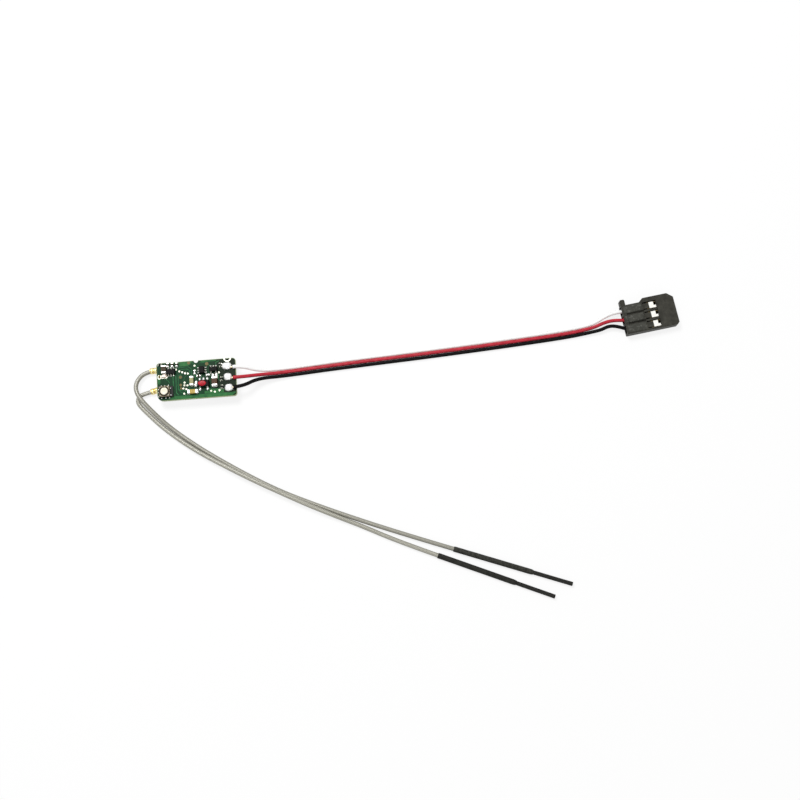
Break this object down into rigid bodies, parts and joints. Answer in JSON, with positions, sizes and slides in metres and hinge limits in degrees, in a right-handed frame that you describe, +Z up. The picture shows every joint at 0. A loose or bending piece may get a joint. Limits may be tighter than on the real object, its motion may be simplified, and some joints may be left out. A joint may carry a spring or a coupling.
{
  "type": "radio control receiver",
  "caption": "Small radio control receiver: bare circuit board with two coaxial wire antennas and a three-wire lead that ends in a flat three-way plug.",
  "frame": {"origin": "under the middle of the board, on the surface that the object lies on", "axes": "+X along the board towards the three-wire lead, +Y across the board away from the viewer, +Z up from the face with the shield can to the face with the button"},
  "size_m": [0.1424, 0.0761, 0.0045],
  "materials": {
    "board_laminate": "green lacquered glass fibre laminate",
    "tin": "tinned copper, satin",
    "solder": "bright solder",
    "moulded_black": "black moulded epoxy",
    "red_lacquer": "red marking lacquer",
    "brown_ceramic": "brown fired ceramic",
    "beige_ceramic": "beige fired ceramic",
    "tan_ceramic": "tan fired ceramic",
    "dark_ceramic": "dark ceramic",
    "button_cream": "cream moulded plastic",
    "button_black": "black moulded plastic",
    "button_frame": "darkened sheet steel",
    "dome_steel": "spring steel",
    "shield_tinplate": "tinned sheet steel",
    "crystal_lid": "plated lid",
    "gold_plate": "gold plated brass",
    "insulator_white": "white moulded plastic",
    "coax_grey": "warm grey cable jacket",
    "sleeve_charcoal": "charcoal sleeve",
    "tip_charcoal": "charcoal sheath",
    "wire_white": "white wire insulation",
    "wire_red": "red wire insulation",
    "wire_black": "black wire insulation",
    "plug_plastic": "dark grey moulded plastic",
    "contact_plate": "plated spring bronze",
    "strand_copper": "tinned copper strands"
  },
  "bodies": {
    "receiver": {"circuit_board": "board_laminate", "regulator_body": "moulded_black", "regulator_leads": "tin", "amplifier_body": "moulded_black", "amplifier_leads": "tin", "inverter_body": "moulded_black", "inverter_leads": "tin", "antenna_switch_body": "moulded_black", "antenna_switch_leads": "tin", "lacquer_dot": "red_lacquer", "ceramic_capacitor_body": "brown_ceramic", "ceramic_capacitor_ends": "tin", "bead_body": "beige_ceramic", "bead_ends": "tin", "tan_capacitor_body": "tan_ceramic", "tan_capacitor_ends": "tin", "radio_filter_body": "dark_ceramic", "radio_filter_ends": "tin", "chip_resistor_bodies": "moulded_black", "chip_resistor_ends": "tin", "chip_capacitor_bodies": "tan_ceramic", "chip_capacitor_ends": "tin", "solder_pads": "tin", "vias": "tin", "stripped_ends": "strand_copper", "signal_joint": "solder", "power_joint": "solder", "ground_joint": "solder", "switch_base": "button_black", "switch_cover": "button_frame", "switch_dome": "dome_steel", "switch_terminals": "solder", "far_socket_insulator": "insulator_white", "far_socket_contacts": "gold_plate", "near_socket_insulator": "insulator_white", "near_socket_contacts": "gold_plate", "far_antenna_plug": "gold_plate", "far_antenna_plug_insulator": "insulator_white", "near_antenna_plug": "gold_plate", "near_antenna_plug_insulator": "insulator_white", "shield_can": "shield_tinplate", "transceiver_chip": "moulded_black", "crystal": "crystal_lid", "microcontroller_chip": "moulded_black", "far_coax": "coax_grey", "near_coax": "coax_grey", "far_sleeve": "sleeve_charcoal", "far_tip": "tip_charcoal", "near_sleeve": "sleeve_charcoal", "near_tip": "tip_charcoal", "white_wire": "wire_white", "red_wire": "wire_red", "black_wire": "wire_black", "plug_housing": "plug_plastic", "signal_contact": "contact_plate", "power_contact": "contact_plate", "ground_contact": "contact_plate", "crimped_ends": "contact_plate"},
    "button": {"switch_plunger": "button_cream"}
  },
  "joints": [
    {"name": "button_press", "type": "slide", "parent": "receiver", "child": "button", "axis": [0, 0, -1], "range_m": [0, 0.0002], "stiffness_N_per_m": 1000, "springref_m": -0.0003, "deforming": ["switch_dome"]}
  ]
}
